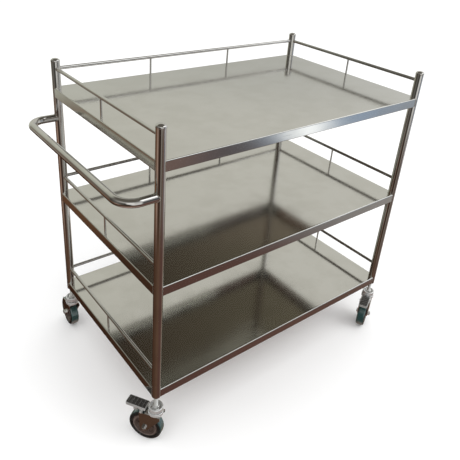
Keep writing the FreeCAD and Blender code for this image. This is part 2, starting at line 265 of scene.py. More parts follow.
def rectangle(low, high, inset, height):
    """A level rectangle between two corners, drawn in by an inset."""
    x0, y0 = low[0] + inset, low[1] + inset
    x1, y1 = high[0] - inset, high[1] - inset
    return [Vector((x, y, height)) for x, y in ((x0, y0), (x1, y0), (x1, y1), (x0, y1))]


def sweep(path, radii, reference, count, closed=False):
    """Rings round a path, one radius for each point. The reference is never along the path."""
    last = len(path) - 1
    rings = []
    for index, (point, size) in enumerate(zip(path, radii)):
        before = path[index - 1] if index or closed else point
        after = path[(index + 1) % len(path)] if index < last or closed else point
        direction = (after - before).normalized()
        side = direction.cross(reference).normalized()
        top = side.cross(direction)
        rings.append([point + side * flat.x + top * flat.y for flat in circle(size, 0, count)])
    return rings


def coped(ring, axis, way):
    """Slide points along a level way out from a post's axis until they lie on its surface."""
    line = []
    for point in ring:
        offset = (point - axis).xy.to_3d()
        along = offset.dot(way)
        apart = offset.length_squared - along * along
        line.append(point + way * (math.sqrt(POST_R * POST_R - apart) - along))
    return line


def hexagon_rings(across, low, high, bore):
    """Rings of a hexagon whose corners are chamfered at both ends."""
    flat = across / 2 - HEX_CHAMFER
    slope = math.tan(math.radians(30))
    turns = [360 * step / ROUND for step in range(ROUND)]
    rings = [circle(bore, low), circle(flat, low)]
    for end, inwards in ((low, 1), (high, -1)):
        ring = []
        for turn in turns:
            reach = across / 2 / cosine(turn % 60 - 30)
            rise = end + inwards * (reach - flat) * slope
            ring.append(Vector((reach * cosine(turn), reach * sine(turn), rise)))
        rings.append(ring)
    return rings + [circle(flat, high), circle(bore, high)]


def thread_rings(low, high, count):
    """Rings of a screw thread on the stem, which fades in and out over its end turns."""
    steps = round((high - low) / THREAD_PITCH * THREAD_STEPS)
    rings = []
    for step, height in enumerate(between(low, high, steps)):
        fade = min(1, step / THREAD_STEPS, (steps - step) / THREAD_STEPS)
        ring = []
        for point in circle(1, height, count):
            phase = (height / THREAD_PITCH - math.atan2(point.y, point.x) / math.tau) % 1
            depth = THREAD_DEPTH * fade * abs(2 * phase - 1)
            ring.append(Vector((point.x * (STEM_R - depth), point.y * (STEM_R - depth), height)))
        rings.append(ring)
    return rings


class Builder:
    """Collects one piece's faces, and writes their grain map.

    coat is the number, in the list given to finish, of the material that new faces get.
    """

    def __init__(self, place=Matrix.Identity(4)):
        self.bm = bmesh.new()
        self.grain = self.bm.loops.layers.uv.new("grain")
        self.place = place
        self.coat = 0

    def skin(self, rings, closed=True, loop=False):
        """Quads between rings of points; closed joins a ring's ends, loop joins last to first."""
        rows = [[self.bm.verts.new(self.place @ point) for point in ring] for ring in rings]
        count = len(rows[0])
        along = 0.0
        for index in range(len(rows) if loop else len(rows) - 1):
            low, high = rows[index], rows[(index + 1) % len(rows)]
            step = max((b.co - a.co).length for a, b in zip(low, high))
            around = 0.0
            for j in range(count if closed else count - 1):
                k = (j + 1) % count
                width = max((low[k].co - low[j].co).length, (high[k].co - high[j].co).length)
                face = self.bm.faces.new((low[j], low[k], high[k], high[j]))
                face.material_index = self.coat
                corners = ((around, along), (around + width, along),
                           (around + width, along + step), (around, along + step))
                for corner, uv in zip(face.loops, corners):
                    corner[self.grain].uv = uv
                around += width
            along += step

    def lathe(self, profile, count=ROUND, loop=False):
        """Turn (radius, height) points about Z."""
        self.skin([circle(radius, height, count) for radius, height in profile], loop=loop)

    def flat(self, outline):
        """One flat face, with its grain along X."""
        face = self.bm.faces.new([self.bm.verts.new(self.place @ point) for point in outline])
        face.material_index = self.coat
        for corner in face.loops:
            corner[self.grain].uv = corner.vert.co.yx

    def stack(self, rings):
        """A closed solid from outlines laid one on the next."""
        self.skin(rings)
        self.flat(rings[0])
        self.flat(rings[-1])

    def block(self, low, high, edge):
        """A box with eased edges, from its lowest and highest corners."""
        def outline(inset, height):
            return rounded_loop(rectangle(low, high, inset, height), [edge] * 4)

        eased = [(inset * edge, rise * edge) for inset, rise in ((1, 0), (0.3, 0.3), (0, 1))]
        self.stack([outline(inset, low[2] + rise) for inset, rise in eased]
                   + [outline(inset, high[2] - rise) for inset, rise in eased[::-1]])

    def to_object(self, name, materials):
        """Link an object made of the faces, in one material or a list."""
        mesh = bpy.data.meshes.new(name)
        self.bm.to_mesh(mesh)
        self.bm.free()
        for material in materials if isinstance(materials, list) else [materials]:
            mesh.materials.append(material)
        piece = bpy.data.objects.new(name, mesh)
        scene.collection.objects.link(piece)
        return piece

    def finish(self, name, body, materials, nodes=(), sharp=35, ease=0.0):
        """Make a piece of the cart; ease bevels its sharp edges."""
        bmesh.ops.remove_doubles(self.bm, verts=self.bm.verts, dist=MERGE)
        bmesh.ops.recalc_face_normals(self.bm, faces=self.bm.faces)
        piece = self.to_object(name, materials)
        piece.data.polygons.foreach_set("use_smooth", [True] * len(piece.data.polygons))
        piece.data.set_sharp_from_angle(angle=math.radians(sharp))
        if ease:
            bevel = piece.modifiers.new("ease", "BEVEL")
            bevel.width = ease
            bevel.segments = 3
            bevel.angle_limit = math.radians(50)
        normals = piece.modifiers.new("normals", "WEIGHTED_NORMAL")
        normals.keep_sharp = True
        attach(piece, body)
        if nodes:
            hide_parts(*nodes)


# Frame pieces

def make_post(corner, material):
    builder = Builder(POST_PLACE[corner])
    bore = POST_R - POST_WALL
    section = [(POST_R, POST_LOW), (POST_R, POST_HIGH), (bore, POST_HIGH), (bore, POST_LOW)]
    builder.lathe(rounded_loop(section, [POST_EASE] * 4), loop=True)
    builder.finish(f"post_tube_{corner}", "frame", material, [f"post_{corner}"])


def make_caps(material):
    """Domed caps: a rolled rim over the tube's end, and a plug inside it."""
    builder = Builder()
    rim_top = POST_HIGH + CAP_RIM
    dome = CAP_TOP - rim_top
    plug = POST_R - POST_WALL
    plug_low = POST_HIGH - CAP_PLUG
    profile = rounded([(0, plug_low), (plug, plug_low), (plug, POST_HIGH), (CAP_R, POST_HIGH),
                       (CAP_R, rim_top)], [0.6 * MM, 0.2 * MM, 0.9 * MM])
    profile += [Vector((CAP_R * cosine(turn), rim_top + dome * sine(turn)))
                for turn in between(0, 90, 14)[1:]]
    for corner in CORNERS:
        builder.place = POST_PLACE[corner]
        builder.lathe(profile)
    builder.finish("post_cap_domes", "frame", material, ["post_caps"])


def make_inserts(material):
    builder = Builder()
    outer = POST_R - POST_WALL
    top = POST_LOW + INSERT_DEPTH
    section = [(STEM_R, POST_LOW), (outer, POST_LOW), (outer, top), (STEM_R, top)]
    for corner in CORNERS:
        builder.place = POST_PLACE[corner]
        builder.lathe(rounded_loop(section, [0.5 * MM] * 4), loop=True)
    builder.finish("post_foot_inserts", "frame", material, ["stem_inserts"])


def post_gap(outward):
    """How far a post's surface is from its axis, on a line this far outside that axis."""
    return math.sqrt(POST_R * POST_R - outward * outward)


def tray_sides():
    """Each side's two corners, its direction and its outward direction, anticlockwise."""
    for corner, following in zip(CORNERS, CORNERS[1:] + CORNERS[:1]):
        along = (POST_AT[following] - POST_AT[corner]).normalized()
        yield corner, following, along, along.cross(UP)


def tray_section(top):
    """(outward, height) points round a folded edge, from the upper face to the lower face."""
    low = top - APRON
    inner = OVERHANG - 2 * TRAY_BEND
    wall = OVERHANG - SHEET
    lip = wall - APRON_LIP
    corners = [(inner, top), (OVERHANG, top), (OVERHANG, low), (lip, low), (lip, low + SHEET),
               (wall, low + SHEET), (wall, top - SHEET), (inner, top - SHEET)]
    return rounded(corners, [TRAY_BEND, 1.9 * MM, 0.4 * MM, 0.4 * MM, 0.7 * MM, TRAY_BEND - SHEET])


def post_notches(outward):
    """The arcs that clear the posts, in the order of CORNERS, for a face this far outside them."""
    gap = post_gap(outward)
    sides = list(tray_sides())
    arcs = []
    for (corner, _, along, out), (_, _, previous, previous_out) in zip(sides, sides[-1:] + sides):
        start = previous_out * outward - previous * gap
        end = out * outward + along * gap
        arcs.append([POST_AT[corner] + start.slerp(end, step / 18) * POST_R for step in range(19)])
    return arcs


def raised(points, height):
    return [point + UP * height for point in points]


def make_tray(tier, material):
    """A folded pan: two faces notched round the posts, and four folded edges with coped ends."""
    builder = Builder()
    top = TRAY_TOP[tier]
    section = tray_section(top)
    for corner, following, along, outward in tray_sides():
        ends = []
        for post, sign in ((corner, 1), (following, -1)):
            ends.append([POST_AT[post] + outward * point.x + UP * point.y
                         + along * sign * post_gap(point.x) for point in section])
            builder.flat(ends[-1])
        builder.skin(ends, closed=False)
    arcs = post_notches(section[0].x)
    outline = [point for arc in arcs for point in arc]
    builder.flat(raised(outline, top))
    builder.flat(raised(outline, top - SHEET))
    for arc in arcs:
        builder.skin([raised(arc, top), raised(arc, top - SHEET)], closed=False)
    builder.finish(f"tray_pan_{tier}", "frame", material, [f"tray_{tier}"], sharp=50)


def add_coped_tube(builder, path, ends, radius, wall, count):
    """A hollow tube between two posts; ends holds each post's axis and the way out of it."""
    shells = []
    for size in (radius, radius - wall):
        rings = sweep(path, [size] * len(path), UP, count)
        rings[0] = coped(rings[0], *ends[0])
        rings[-1] = coped(rings[-1], *ends[1])
        shells.append(rings)
    builder.skin(shells[0] + shells[1][::-1], loop=True)


def rail_line(side):
    """The axes of the posts at a rail's ends, and the way from the first to the second."""
    start, end = (POST_AT[corner] for corner in RAIL_ENDS[side])
    return start, end, (end - start).normalized()


def make_rail(tier, side, material):
    builder = Builder()
    start, end, way = rail_line(side)
    path = raised(between(start, end, 8), TRAY_TOP[tier] + RAIL_RISE)
    add_coped_tube(builder, path, ((start, way), (end, -way)), RAIL_R, RAIL_WALL, count=32)
    builder.finish(f"guard_rail_{tier}_{side}", "frame", material, [f"rail_{tier}_{side}"])


def stay_spots():
    """Where stays stand, and the direction of the rail over each."""
    for side, shares in (("left", (1 / 2,)), ("right", (1 / 2,)), ("back", (1 / 3, 2 / 3))):
        start, end, way = rail_line(side)
        for share in shares:
            yield start.lerp(end, share), way


def stay_head(spot, rail_way, rail_height, count):
    """The line where a stay's surface meets the underside of its rail."""
    across = rail_way.cross(UP)
    ring = []
    for point in circle(STAY_R, rail_height, count):
        aside = point.dot(across)
        ring.append(spot + point - UP * math.sqrt(RAIL_R * RAIL_R - aside * aside))
    return ring


def make_stays(tier, material):
    builder = Builder()
    low = TRAY_TOP[tier] - SHEET
    rail_height = TRAY_TOP[tier] + RAIL_RISE
    count = 24
    for spot, rail_way in stay_spots():
        foot = raised(circle(STAY_R, 0, count), low)
        head = stay_head(spot, rail_way, rail_height, count)
        rings = [[spot + UP * low] * count, [spot + point for point in foot], head,
                 [spot + UP * (rail_height - RAIL_R)] * count]
        builder.skin(rings)
    builder.finish(f"stay_rods_{tier}", "frame", material, [f"stays_{tier}"])


def make_handle(material):
    """One bent tube: out from the front post, along the end and back to the back post."""
    builder = Builder()
    front, back = POST_AT["front_left"], POST_AT["back_left"]
    corners = [front, Vector((GRIP_X, front.y, 0)), Vector((GRIP_X, back.y, 0)), back]
    path = raised(rounded(corners, [HANDLE_BEND] * 2, steps=24), HANDLE_Z)
    ends = ((front, HANDLE_WAY), (back, HANDLE_WAY))
    add_coped_tube(builder, path, ends, HANDLE_R, HANDLE_WALL, count=56)
    builder.finish("push_handle_tube", "frame", material, ["handle"])


# Welds

def add_weld(builder, line, radius, reference, closed=True):
    """A rippled bead along a line of points; an open one tapers at its ends."""
    steps = [(b - a).length for a, b in zip(line, line[1:] + line[:1])]
    total = sum(steps if closed else steps[:-1])
    ripples = max(1, round(total / WELD_RIPPLE))
    travelled = 0.0
    radii = []
    for step in steps:
        size = radius * (1 + WELD_SWELL * math.cos(math.tau * ripples * travelled / total))
        if not closed:
            size *= math.sqrt(min(1, travelled / radius, (total - travelled) / radius) + 1e-4)
        radii.append(size)
        travelled += step
    builder.skin(sweep(line, radii, reference, WELD_SIDES, closed), loop=closed)


def spaced(start, end):
    """Points along a straight weld."""
    return between(start, end, round((end - start).length / WELD_STEP))


def tube_end_line(axis, way, height, radius, count):
    """The line where a level tube meets a post."""
    side = way.cross(UP)
    ring = [axis + side * flat.x + UP * (height + flat.y) for flat in circle(radius, 0, count)]
    return coped(ring, axis, way)


def make_tier_welds(tier, material):
    """Beads at the rails' ends, at both ends of the stays, and where the tray meets the posts."""
    builder = Builder()
    top = TRAY_TOP[tier]
    rail_height = top + RAIL_RISE
    for side in RAIL_ENDS:
        start, end, way = rail_line(side)
        for axis, out in ((start, way), (end, -way)):
            line = tube_end_line(axis, out, rail_height, RAIL_R, count=96)
            add_weld(builder, line, RAIL_WELD, out)
    for spot, rail_way in stay_spots():
        head = stay_head(spot, rail_way, rail_height, count=64)
        foot = [spot + point for point in circle(STAY_R, top, 64)]
        add_weld(builder, head, STAY_WELD, UP)
        add_weld(builder, foot, STAY_WELD, UP)
    for corner, following, along, outward in tray_sides():
        for post, sign in ((corner, 1), (following, -1)):
            edge = POST_AT[post] + outward * OVERHANG + along * sign * post_gap(OVERHANG)
            line = spaced(edge + UP * (top - TRAY_BEND), edge + UP * (top - APRON + APRON_WELD_END))
            add_weld(builder, line, APRON_WELD, outward, closed=False)
    for arc in post_notches(OVERHANG - 2 * TRAY_BEND):
        line = []
        for start, end in zip(arc, arc[1:]):
            line += spaced(start, end)[:-1]
        add_weld(builder, raised(line, top), TRAY_WELD, UP, closed=False)
    builder.finish(f"welds_{tier}", "frame", material, sharp=80)


def make_handle_welds(material):
    builder = Builder()
    for corner in RAIL_ENDS["left"]:
        line = tube_end_line(POST_AT[corner], HANDLE_WAY, HANDLE_Z, HANDLE_R, count=220)
        add_weld(builder, line, HANDLE_WELD, HANDLE_WAY)
    builder.finish("welds_handle", "frame", material, sharp=80)


# Caster pieces

def caster_place(corner):
    """Where a caster stands, swivelled so that +X runs from its stem to its wheel."""
    trail = (Vector(JOINTS[f"roll_{corner}"]["pos_m"]) - POST_AT[corner]).xy
    swivel = Matrix.Rotation(math.atan2(trail.y, trail.x), 4, "Z")
    return POST_PLACE[corner] @ swivel, trail.length


def across_fork(place, along, height):
    """A place whose Z runs across the fork, at a distance behind the stem and a height."""
    return place @ Matrix.Translation((along, 0, height)) @ Matrix.Rotation(-math.pi / 2, 4, "X")


def make_stem(corner, material):
    """Threaded stem, with a hexagon seated in the cup and a riveted head under the crown."""
    builder = Builder(POST_PLACE[corner])
    count = 40
    head = rounded([(0, RIVET_LOW), (RIVET_R, RIVET_LOW), (RIVET_R, RIVET_TOP),
                    (STEM_R, RIVET_TOP)], [1.5 * MM, 0.6 * MM])
    tip = [(STEM_R, POST_LOW + STEM_CHAMFER), (STEM_R, STEM_TOP - STEM_CHAMFER),
           (STEM_R - STEM_CHAMFER, STEM_TOP), (0, STEM_TOP)]
    rings = [circle(radius, height, count) for radius, height in head]
    rings += thread_rings(HEX_TOP, POST_LOW, count)
    rings += [circle(radius, height, count) for radius, height in tip]
    builder.skin(rings)
    builder.skin(hexagon_rings(HEX_ACROSS, HEX_LOW, HEX_TOP, STEM_R), loop=True)
    builder.finish(f"caster_stem_{corner}", "frame", material,
                   [f"stem_{corner}"], sharp=28)


def make_cup(corner, material):
    builder = Builder(POST_PLACE[corner])
    builder.lathe(section_in_mm(CUP_SECTION, CUP_EASE), loop=True)
    builder.finish(f"swivel_cup_{corner}", "frame", material, [f"cup_{corner}"])


def leg_stations(trail):
    """(along, underside height) points of a leg: front slope, round eye at the axle, rear slope."""
    eye = Vector((trail, WHEEL_R))
    front = Vector((FORK_FRONT, FORK_SHOULDER))
    rear = Vector((FORK_REAR, FORK_SHOULDER))

    def tangent_heading(corner, side):
        out = corner - eye
        return math.atan2(out.y, out.x) + side * math.acos(FORK_EYE_R / out.length)

    start = tangent_heading(front, 1)
    end = tangent_heading(rear, -1) + math.tau
    arc = [eye + FORK_EYE_R * Vector((math.cos(turn), math.sin(turn)))
           for turn in between(start, end, 24)]
    line = between(front, arc[0], 4)[:-1] + arc + [rear]
    for before, after in zip(line, line[1:]):
        if before.x < CROWN_REAR < after.x:
            share = (CROWN_REAR - before.x) / (after.x - before.x)
            line.insert(line.index(after), before.lerp(after, share))
            break
    return line


def leg_column(station, side, across):
    """Points up a leg's face at one station."""
    top = FORK_TOP - FORK_BEND
    heights = between(station.y, top, 5)
    return [Vector((station.x, side * across, height)) for height in heights]


def crown_arch(x, depth):
    """Points over the crown between the tops of the legs' faces, this deep in the sheet."""
    across = FORK_HALF - depth
    top = FORK_TOP - depth
    low = FORK_TOP - FORK_BEND
    corners = [(x, -across, low), (x, -across, top), (x, across, top), (x, across, low)]
    bend = 0.999 * (FORK_BEND - depth)  # ends just short of the outer corners
    return rounded(corners, [bend] * 2)


def make_fork(corner, place, trail, materials):
    """Pressed fork: a crown with bent shoulders, two tapering legs and the pressed-in race."""
    builder = Builder(place)
    stations = leg_stations(trail)
    crowned = [station for station in stations if station.x <= CROWN_REAR + MERGE]
    beyond = [station for station in stations if station.x >= CROWN_REAR - MERGE]

    def arches(x):
        return crown_arch(x, 0), crown_arch(x, FORK_SHEET)

    rings = []
    for station in crowned:
        outer, inner = arches(station.x)
        rings.append(leg_column(station, -1, FORK_HALF)[:-1] + outer
                     + leg_column(station, 1, FORK_HALF)[-2::-1]
                     + leg_column(station, 1, FORK_INNER)[:-1] + inner[::-1]
                     + leg_column(station, -1, FORK_INNER)[-2::-1])
    builder.skin(rings)
    builder.flat(rings[0])
    outer, inner = arches(CROWN_REAR)
    builder.flat(outer + inner[::-1])
    for side in (-1, 1):
        leg = [leg_column(station, side, FORK_HALF) + leg_column(station, side, FORK_INNER)[::-1]
               for station in beyond]
        builder.skin(leg)
        builder.flat(leg[-1])
    builder.coat = 1
    builder.lathe(section_in_mm(RACE_SECTION, RACE_EASE), loop=True)
    builder.finish(f"caster_fork_{corner}", f"caster_{corner}", materials,
                   [f"fork_{corner}"], ease=0.5 * MM)


def make_axle(corner, place, trail, material):
    """Bolt with its head on one leg and its nut on the other."""
    builder = Builder(across_fork(place, trail, WHEEL_R))
    end = FORK_HALF + AXLE_NUT + AXLE_END
    shank = rounded([(0, -FORK_HALF), (AXLE_R, -FORK_HALF), (AXLE_R, end), (0, end)], [0, 0.7 * MM])
    builder.lathe(shank, count=40)
    builder.skin(hexagon_rings(AXLE_HEX, -FORK_HALF - AXLE_HEAD, -FORK_HALF, 0))
    builder.skin(hexagon_rings(AXLE_HEX, FORK_HALF, FORK_HALF + AXLE_NUT, AXLE_R), loop=True)
    builder.finish(f"axle_bolt_{corner}", f"caster_{corner}", material,
                   [f"axle_{corner}"], sharp=28)


def make_hub(corner, place, trail, materials):
    """Moulded centre with a turned rim and radial ribs on both faces of its web."""
    builder = Builder(across_fork(place, trail, WHEEL_R))
    builder.lathe(mirrored_section(HUB_HALF_SECTION, HUB_EASE), count=96, loop=True)
    axle = builder.place
    for side in (-1, 1):
        low, high = sorted((side * HUB_RIB_LOW, side * HUB_RIB_TOP))
        for index in range(HUB_RIBS):
            builder.place = axle @ Matrix.Rotation(math.tau * index / HUB_RIBS, 4, "Z")
            builder.block((HUB_RIB_START, -HUB_RIB_HALF, low),
                          (HUB_RIB_END, HUB_RIB_HALF, high), edge=0.6 * MM)
    # The bead rings take the second material, whose lighter brown is a painted highlight on the rim
    # lip
    builder.coat = 1
    bead = section_in_mm(BEAD_SECTION, BEAD_EASE)
    for turn in (0, math.pi):
        builder.place = axle @ Matrix.Rotation(turn, 4, "X")
        builder.lathe(bead, count=96, loop=True)
    builder.finish(f"wheel_hub_{corner}", f"wheel_{corner}", materials, [f"hub_{corner}"])


def make_tyre(corner, place, trail, materials):
    """Black walls, and a tread of another colour."""
    builder = Builder(across_fork(place, trail, WHEEL_R))
    section = mirrored_section(TYRE_HALF_SECTION, TYRE_EASE)
    outer = [index for index, point in enumerate(section) if point.x > TREAD_R]
    builder.lathe(section[outer[-1]:] + section[:outer[0] + 1], count=120)
    builder.coat = 1
    builder.lathe(section[outer[0]:outer[-1] + 1], count=120)
    builder.finish(f"wheel_tyre_{corner}", f"wheel_{corner}", materials, [f"tyre_{corner}"])


def pedal_outline(inset, height):
    """The pedal's plan, drawn in by an inset."""
    corners = rectangle((PEDAL_START, -PEDAL_HALF), (PEDAL_TIP, PEDAL_HALF), inset, height)
    at_tip = PEDAL_CORNER - inset
    at_start = 0.8 * MM
    return rounded_loop(corners, [at_start, at_tip, at_tip, at_start], steps=8)


def add_pedal_lug(builder, across, top):
    """A flat ear round the pivot, as high as the pedal's side; across is its mid-thickness."""
    ring = [Vector((PIVOT_X + LUG_R * cosine(turn), 0, PIVOT_Z + LUG_R * sine(turn)))
            for turn in between(180, 360, 16)]
    ring += [Vector((PIVOT_X + LUG_R, 0, top)), Vector((PIVOT_X - LUG_R, 0, top))]
    builder.stack([[point + Vector((0, across + shift, 0)) for point in ring]
                   for shift in (-LUG_HALF, LUG_HALF)])


def make_pedal(corner, place, materials):
    """Foot plate with turned-down sides and grip ribs, lugs on its pin and a shoe underneath."""
    builder = Builder(place)
    under = PEDAL_TOP - PEDAL_SHEET
    low = PEDAL_TOP - PEDAL_FLANGE
    levels = [(PEDAL_SHEET, under), (PEDAL_SHEET, low), (0, low)]
    for turn in between(0, 90, 5):
        levels.append((PEDAL_EDGE * (1 - cosine(turn)), PEDAL_TOP - PEDAL_EDGE * (1 - sine(turn))))
    levels.append((PEDAL_RIM, PEDAL_TOP))
    outlines = [pedal_outline(inset, height) for inset, height in levels]
    builder.skin(outlines)
    builder.flat(outlines[0])
    builder.coat = 1
    builder.flat(outlines[-1])
    builder.coat = 2
    rib_end = PEDAL_HALF - PEDAL_RIB_INSET
    for index in range(PEDAL_RIBS):
        x = PEDAL_TIP - PEDAL_RIB_FIRST - PEDAL_RIB_PITCH * index
        builder.block((x - PEDAL_RIB_HALF, -rib_end, under + PEDAL_SEAT),
                      (x + PEDAL_RIB_HALF, rib_end, PEDAL_TOP + PEDAL_RIB_RISE), edge=0.7 * MM)
    builder.coat = 0
    for side in (-1, 1):
        add_pedal_lug(builder, side * (PEDAL_HALF - PEDAL_SHEET / 2), low + LUG_OVERLAP)
    builder.block((SHOE_START, -SHOE_HALF, SHOE_BOTTOM),
                  (SHOE_END, SHOE_HALF, under + PEDAL_SEAT), edge=1.0 * MM)
    builder.finish(f"brake_pedal_plate_{corner}", f"brake_{corner}", materials,
                   [f"pedal_{corner}"], ease=0.3 * MM)


def make_pedal_pin(corner, place, material):
    """Riveted pin with a domed head at each end."""
    builder = Builder(across_fork(place, PIVOT_X, PIVOT_Z))
    end = FORK_HALF + PIVOT_HEAD
    profile = rounded([(0, -end), (PIVOT_HEAD_R, -end), (PIVOT_HEAD_R, -FORK_HALF),
                       (PIVOT_R, -FORK_HALF), (PIVOT_R, FORK_HALF), (PIVOT_HEAD_R, FORK_HALF),
                       (PIVOT_HEAD_R, end), (0, end)],
                      [1.2 * MM, 0.2 * MM, 0, 0, 0.2 * MM, 1.2 * MM])
    builder.lathe(profile, count=32)
    builder.finish(f"brake_pin_{corner}", f"caster_{corner}", material,
                   [f"pedal_pin_{corner}"])


# Materials

def set_input(tree, socket, value):
    """Give an input a value, or link it to another node's socket."""
    if isinstance(value, bpy.types.NodeSocket):
        tree.links.new(value, socket)
    else:
        socket.default_value = value


def add_node(tree, kind, inputs=None, **settings):
    """A shader node; its inputs are named or numbered, and are values or sockets."""
    node = tree.nodes.new("ShaderNode" + kind)
    for name, value in settings.items():
        setattr(node, name, value)
    for name, value in (inputs or {}).items():
        set_input(tree, node.inputs[name], value)
    return node


def set_surface(tree, **surface):
    """Set inputs of a material's Principled shader, named with underscores for spaces."""
    shader = tree.nodes["Principled BSDF"]
    for key, value in surface.items():
        name = key.replace("_", " ").title().replace("Ior", "IOR")
        set_input(tree, shader.inputs[name], value)


def new_material(name, **surface):
    """A material, with uniform values on its surface, and its tree."""
    material = bpy.data.materials.new(name)
    material.use_nodes = True
    set_surface(material.node_tree, **surface)
    return material, material.node_tree


def grain_noise(tree, across, along, detail=3.0):
    """Noise drawn out along the grain, at so many features to the metre each way."""
    grain = add_node(tree, "UVMap", uv_map="grain").outputs[0]
    inputs = {0: grain, 1: (across, along, 1)}
    scaled = add_node(tree, "VectorMath", inputs, operation="MULTIPLY").outputs[0]
    inputs = {"Vector": scaled, "Scale": 1.0, "Detail": detail}
    return add_node(tree, "TexNoise", inputs).outputs[0]


def place_noise(tree, scale, detail=3.0):
    """Even noise in the piece's own place, at so many features to the metre."""
    place = add_node(tree, "TexCoord").outputs["Object"]
    inputs = {"Vector": place, "Scale": scale, "Detail": detail}
    return add_node(tree, "TexNoise", inputs).outputs[0]


def blend_range(tree, value, low, high, out_low=0.0, out_high=1.0):
    """The value eased from one range to another, and clamped."""
    inputs = {"Value": value, "From Min": low, "From Max": high, "To Min": out_low,
              "To Max": out_high}
    return add_node(tree, "MapRange", inputs, interpolation_type="SMOOTHSTEP").outputs[0]


def combine(tree, operation, first, second):
    return add_node(tree, "Math", {0: first, 1: second}, operation=operation).outputs[0]


def mix_colour(tree, factor, first, second):
    inputs = {0: factor}
    for index, colour in ((6, first), (7, second)):
        inputs[index] = colour if isinstance(colour, bpy.types.NodeSocket) else (*colour, 1)
    return add_node(tree, "Mix", inputs, data_type="RGBA").outputs[2]


def bump(tree, height, distance, under=None):
    """A normal raised by a height, in metres at full height, over another normal."""
    inputs = {"Height": height, "Distance": distance, "Strength": 1.0}
    if under:
        inputs["Normal"] = under
    return add_node(tree, "Bump", inputs).outputs[0]


def metal(name, bright, dull, roughness, lines, line_height, waves, wave_height, turned=False,
          metallic=1.0):
    """Bare or plated metal: fine finish lines, rubbed patches, a few scratches, slight waves.

    roughness is (clean, rubbed); lines and waves are how many to the metre. Lines run along the
    grain, or round the piece if it is turned.
    """
    material, tree = new_material(name, metallic=metallic)
    across, along = (6, lines) if turned else (lines, 6)
    finish_lines = grain_noise(tree, across, along, 4)
    rubbed = place_noise(tree, 14, 5)
    specks = place_noise(tree, 240, 2)
    scratch_field = grain_noise(tree, 9 if turned else 420, 420 if turned else 9, 1)
    scratches = blend_range(tree, scratch_field, 0.73, 0.77)

    patch = blend_range(tree, rubbed, 0.35, 0.7)
    tone = mix_colour(tree, patch, bright, dull)
    lined = mix_colour(tree, blend_range(tree, finish_lines, 0.35, 0.75, 0.0, 0.35), tone, dull)
    spotted = mix_colour(tree, blend_range(tree, specks, 0.72, 0.82, 0.0, 0.25), lined,
                         tuple(0.6 * part for part in dull))

    clean, worn = roughness
    rough = blend_range(tree, rubbed, 0.3, 0.75, clean, worn)
    rough = combine(tree, "ADD", rough, combine(tree, "MULTIPLY", finish_lines, 0.05))
    rough = combine(tree, "ADD", rough, combine(tree, "MULTIPLY", scratches, 0.12))

    wave = bump(tree, place_noise(tree, waves, 1), wave_height)
    fine = bump(tree, finish_lines, line_height, wave)
    scored = bump(tree, scratches, -3 * line_height, fine)
    set_surface(tree, base_color=spotted, roughness=rough, normal=scored)
    return material


def hub_plastic(name, dark, light, scuffed):
    """Moulded plastic: fine texture, mottled colour and scuffs."""
    material, tree = new_material(name, coat_weight=0.35, coat_roughness=0.2)
    mottle = place_noise(tree, 60, 4)
    texture = place_noise(tree, 900, 2)
    scuffs = blend_range(tree, grain_noise(tree, 40, 700, 2), 0.66, 0.74)
    base = mix_colour(tree, blend_range(tree, mottle, 0.3, 0.7), dark, light)
    set_surface(tree, base_color=mix_colour(tree, scuffs, base, scuffed),
                roughness=blend_range(tree, mottle, 0.3, 0.7, 0.32, 0.46),
                normal=bump(tree, texture, 0.05 * MM))
    return material


def rubber(name, dark, light, dusty, **surface):
    """Rubber, dusty in patches, with marks round it and fine pits."""
    material, tree = new_material(name, **surface)
    dust = blend_range(tree, place_noise(tree, 45, 5), 0.5, 0.8)
    pits = place_noise(tree, 1400, 2)
    rolled = grain_noise(tree, 60, 900, 2)
    base = mix_colour(tree, blend_range(tree, rolled, 0.3, 0.7), dark, light)
    dusted = mix_colour(tree, combine(tree, "MULTIPLY", dust, 0.25), base, dusty)
    worn = bump(tree, rolled, 0.04 * MM)
    set_surface(tree, base_color=dusted, roughness=blend_range(tree, dust, 0.0, 1.0, 0.24, 0.42),
                normal=bump(tree, pits, 0.02 * MM, worn))
    return material


def floor_paper():
    """Pale studio paper with a faint tooth."""
    material, tree = new_material("floor_paper", roughness=0.9, specular_ior_level=0.1)
    tooth = place_noise(tree, 3, 3)
    paper = mix_colour(tree, tooth, (0.93, 0.93, 0.93), (0.95, 0.95, 0.95))
    set_surface(tree, base_color=paper)
    return material


